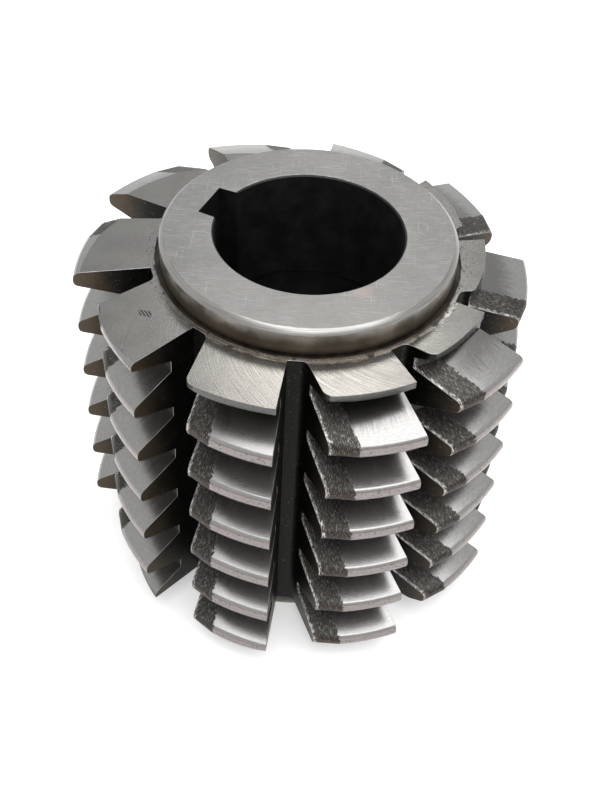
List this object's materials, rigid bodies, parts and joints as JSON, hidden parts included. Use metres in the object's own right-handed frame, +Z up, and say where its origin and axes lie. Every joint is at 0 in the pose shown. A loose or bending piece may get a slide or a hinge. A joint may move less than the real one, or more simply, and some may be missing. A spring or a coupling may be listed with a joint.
{
  "type": "gear hob",
  "caption": "One-piece gear hob with relieved cutting teeth along a screw thread, straight chip gashes, a short boss at each end and a keyed through bore.",
  "frame": {"origin": "centre of the lower boss face, on the bore axis", "axes": "+Z up the bore axis, +Y through the middle of the keyway; seen from +Z the cutting faces look counter-clockwise"},
  "size_m": [0.0764, 0.0788, 0.071],
  "materials": {
    "hob_steel": "ground and turned high-speed steel"
  },
  "bodies": {
    "root": {"gear_hob": "hob_steel"}
  },
  "joints": []
}
